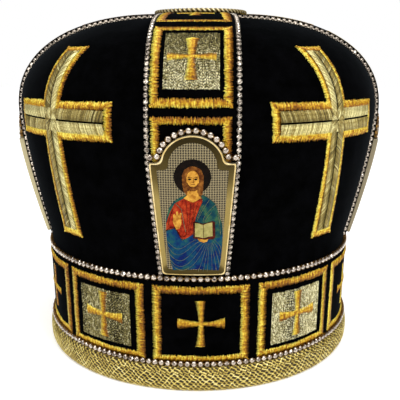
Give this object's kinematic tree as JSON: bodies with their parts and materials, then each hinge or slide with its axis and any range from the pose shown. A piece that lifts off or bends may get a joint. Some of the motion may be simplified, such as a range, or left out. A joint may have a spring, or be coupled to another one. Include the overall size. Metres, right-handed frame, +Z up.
{
  "type": "bishop mitre",
  "caption": "Bulging black velvet crown-shaped mitre with gold embroidery, rhinestone chains, arched icons and a padded gold foot roll; worn on the head.",
  "frame": {"origin": "centre of the foot roll on the surface that the mitre stands on", "axes": "+Z up through the crown, the front icon towards -Y, the wearer's left towards +X"},
  "size_m": [0.2304, 0.2304, 0.206],
  "materials": {
    "velvet": "black velvet",
    "gold_thread": "gold satin-stitch thread",
    "gold_mesh": "knitted gold metallic mesh",
    "frame_gold": "satin gold metal",
    "woven_plate": "silver basket-weave metal",
    "crystal": "clear cut stones in metal cups"
  },
  "bodies": {
    "root": {"base_roll": "gold_mesh", "base_band": "velvet", "base_chain_lower": "crystal", "base_chain_upper": "crystal", "top_disc": "velvet", "top_rim": "gold_mesh", "crown_panel_1": "velvet", "panel_cross_1": "gold_thread", "crown_panel_2": "velvet", "panel_cross_2": "gold_thread", "crown_panel_3": "velvet", "panel_cross_3": "gold_thread", "crown_panel_4": "velvet", "panel_cross_4": "gold_thread", "crown_band_front": "velvet", "icon_frame_front": "frame_gold", "icon_plate_front": "woven_plate", "icon_chain_front": "crystal", "band_chain_front_left": "crystal", "band_chain_front_right": "crystal", "crown_band_right": "velvet", "icon_frame_right": "frame_gold", "icon_plate_right": "woven_plate", "icon_chain_right": "crystal", "band_chain_right_left": "crystal", "band_chain_right_right": "crystal", "crown_band_back": "velvet", "icon_frame_back": "frame_gold", "icon_plate_back": "woven_plate", "icon_chain_back": "crystal", "band_chain_back_left": "crystal", "band_chain_back_right": "crystal", "crown_band_left": "velvet", "icon_frame_left": "frame_gold", "icon_plate_left": "woven_plate", "icon_chain_left": "crystal", "band_chain_left_left": "crystal", "band_chain_left_right": "crystal"}
  },
  "joints": []
}
